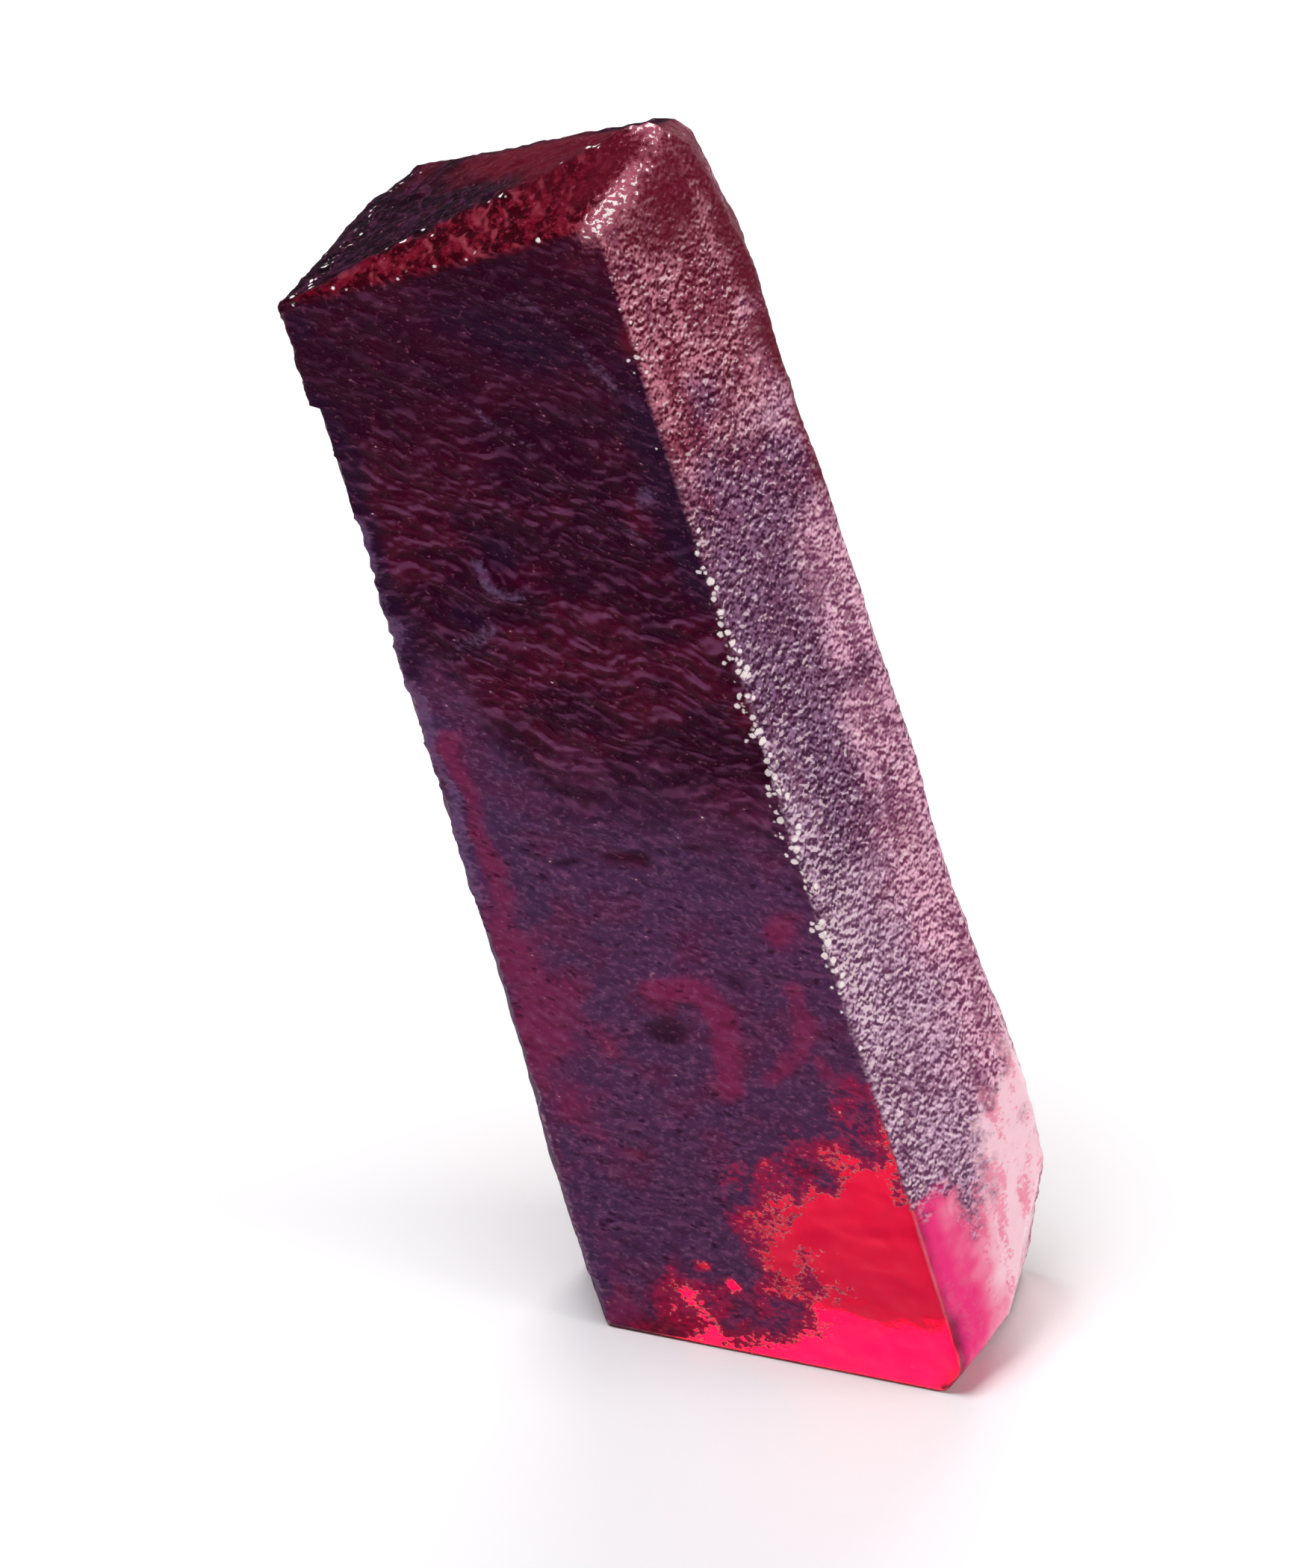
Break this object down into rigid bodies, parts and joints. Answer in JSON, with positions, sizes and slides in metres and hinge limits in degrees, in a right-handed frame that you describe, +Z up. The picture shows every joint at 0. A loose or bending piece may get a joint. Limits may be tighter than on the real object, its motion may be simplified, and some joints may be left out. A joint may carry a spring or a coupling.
{
  "type": "red beryl crystal",
  "caption": "Single loose six-sided crystal of red beryl that leans on its oblique broken foot, with an etched skin and a sloping broken top.",
  "frame": {"origin": "under the middle of the whole crystal, on the surface that it rests on", "axes": "+Z up; the broad front face looks to -Y and a little to -X, and the long axis leans 15 degrees to -X"},
  "size_m": [0.0141, 0.0072, 0.0262],
  "materials": {
    "crystal": "etched, frosted, clear in places"
  },
  "bodies": {
    "root": {"crystal": "crystal"}
  },
  "joints": []
}
